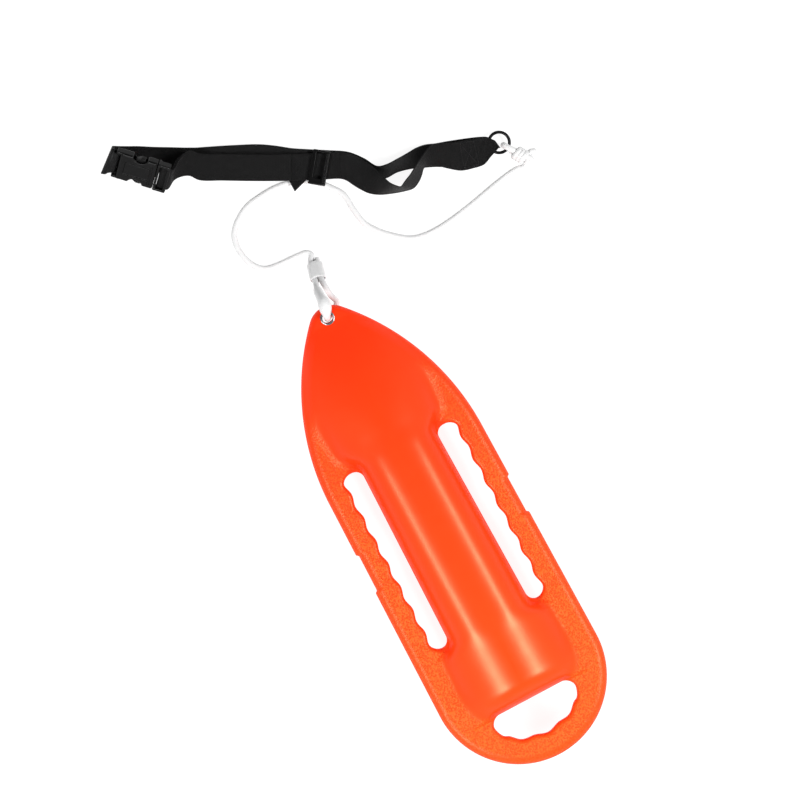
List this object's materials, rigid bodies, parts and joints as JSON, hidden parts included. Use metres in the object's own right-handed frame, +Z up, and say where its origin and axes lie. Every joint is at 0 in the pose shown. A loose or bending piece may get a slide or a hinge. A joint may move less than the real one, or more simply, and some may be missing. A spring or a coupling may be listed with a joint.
{
  "type": "rescue can",
  "caption": "Rigid foam-filled rescue can with finger-grip handles, a rope tow line and an adjustable webbing shoulder belt with side-release buckle.",
  "frame": {"origin": "centre of the flat land on the hull's belly, which rests on the floor, midway between nose and tail", "axes": "+Y along the hull towards the nose and tow line, +X to the right seen from above with the nose ahead, +Z up out of the floor"},
  "size_m": [0.5544, 1.0662, 0.14],
  "materials": {
    "hull_plastic": "gloss",
    "foam": "matte",
    "plug_plastic": "satin",
    "seal_rubber": "matte",
    "grommet_steel": "satin",
    "rope": "matte",
    "rope_whipping": "satin",
    "ring_steel": "polished",
    "webbing": "matte",
    "buckle_plastic": "satin"
  },
  "bodies": {
    "can": {"hull_shell": "hull_plastic", "foam_core": "foam", "fill_plug": "plug_plastic", "plug_seal": "seal_rubber", "nose_grommet_upper": "grommet_steel", "nose_grommet_lower": "grommet_steel"},
    "line_eye": {"tow_line_eye": "rope", "splice_sleeve": "rope_whipping"},
    "line_a": {"tow_line_a": "rope"},
    "line_b": {"tow_line_b": "rope"},
    "line_c": {"tow_line_c": "rope"},
    "line_d": {"tow_line_d": "rope", "tow_line_knot": "rope"},
    "ring": {"belt_ring": "ring_steel"},
    "belt": {"webbing_back": "webbing", "webbing_twist": "webbing", "buckle_female": "buckle_plastic"},
    "strap_front": {"webbing_front": "webbing", "buckle_male": "buckle_plastic"},
    "slider": {"tri_glide": "buckle_plastic", "webbing_tail": "webbing"},
    "latch_upper": {"latch_arm_upper": "buckle_plastic"},
    "latch_lower": {"latch_arm_lower": "buckle_plastic"}
  },
  "joints": [
    {"name": "nose_swing", "type": "hinge", "parent": "can", "child": "line_eye", "pos_m": [0, 0.343, 0.07], "axis": [0, 0, 1], "range_deg": [-45, 60]},
    {"name": "line_bend_1", "type": "hinge", "parent": "line_eye", "child": "line_a", "pos_m": [-0.05295, 0.45403, 0.0048], "axis": [0, 0, 1], "range_deg": [-15, 15]},
    {"name": "line_bend_2", "type": "hinge", "parent": "line_a", "child": "line_b", "pos_m": [-0.04785, 0.52726, 0.0048], "axis": [0, 0, -1], "range_deg": [-15, 15]},
    {"name": "line_bend_3", "type": "hinge", "parent": "line_b", "child": "line_c", "pos_m": [0.10325, 0.48966, 0.0048], "axis": [0, 0, 1], "range_deg": [-14, 12]},
    {"name": "line_bend_4", "type": "hinge", "parent": "line_c", "child": "line_d", "pos_m": [0.19655, 0.38202, 0.0048], "axis": [0, 0, -1], "range_deg": [-12, 20]},
    {"name": "ring_turn", "type": "hinge", "parent": "line_d", "child": "ring", "pos_m": [0.34246, 0.43728, 0.01085], "axis": [0, 0, 1], "range_deg": [-13, 10]},
    {"name": "belt_swing", "type": "hinge", "parent": "ring", "child": "belt", "pos_m": [0.33482, 0.4499, 0.01085], "axis": [0, 0, -1], "range_deg": [-10, 15]},
    {"name": "buckle_pull", "type": "slide", "parent": "belt", "child": "strap_front", "axis": [0.7059, -0.7083, 0], "range_m": [0, 0.038], "deforming": ["webbing_twist", "latch_arm_upper", "latch_arm_lower"]},
    {"name": "slider_adjust", "type": "slide", "parent": "strap_front", "child": "slider", "axis": [0.9002, -0.4354, 0], "range_m": [-0.022, 0.012]},
    {"name": "latch_squeeze_upper", "type": "hinge", "parent": "strap_front", "child": "latch_upper", "pos_m": [-0.11371, 0.64895, 0.03208], "axis": [-0.4553, -0.4537, 0.766], "range_deg": [0, 8]},
    {"name": "latch_squeeze_lower", "type": "hinge", "parent": "strap_front", "child": "latch_lower", "pos_m": [-0.12836, 0.63435, 0.01472], "axis": [-0.4553, -0.4537, 0.766], "range_deg": [-8, 0]}
  ],
  "couplings": [
    {"joint": "latch_squeeze_lower", "follows": "latch_squeeze_upper", "ratio": -1}
  ]
}
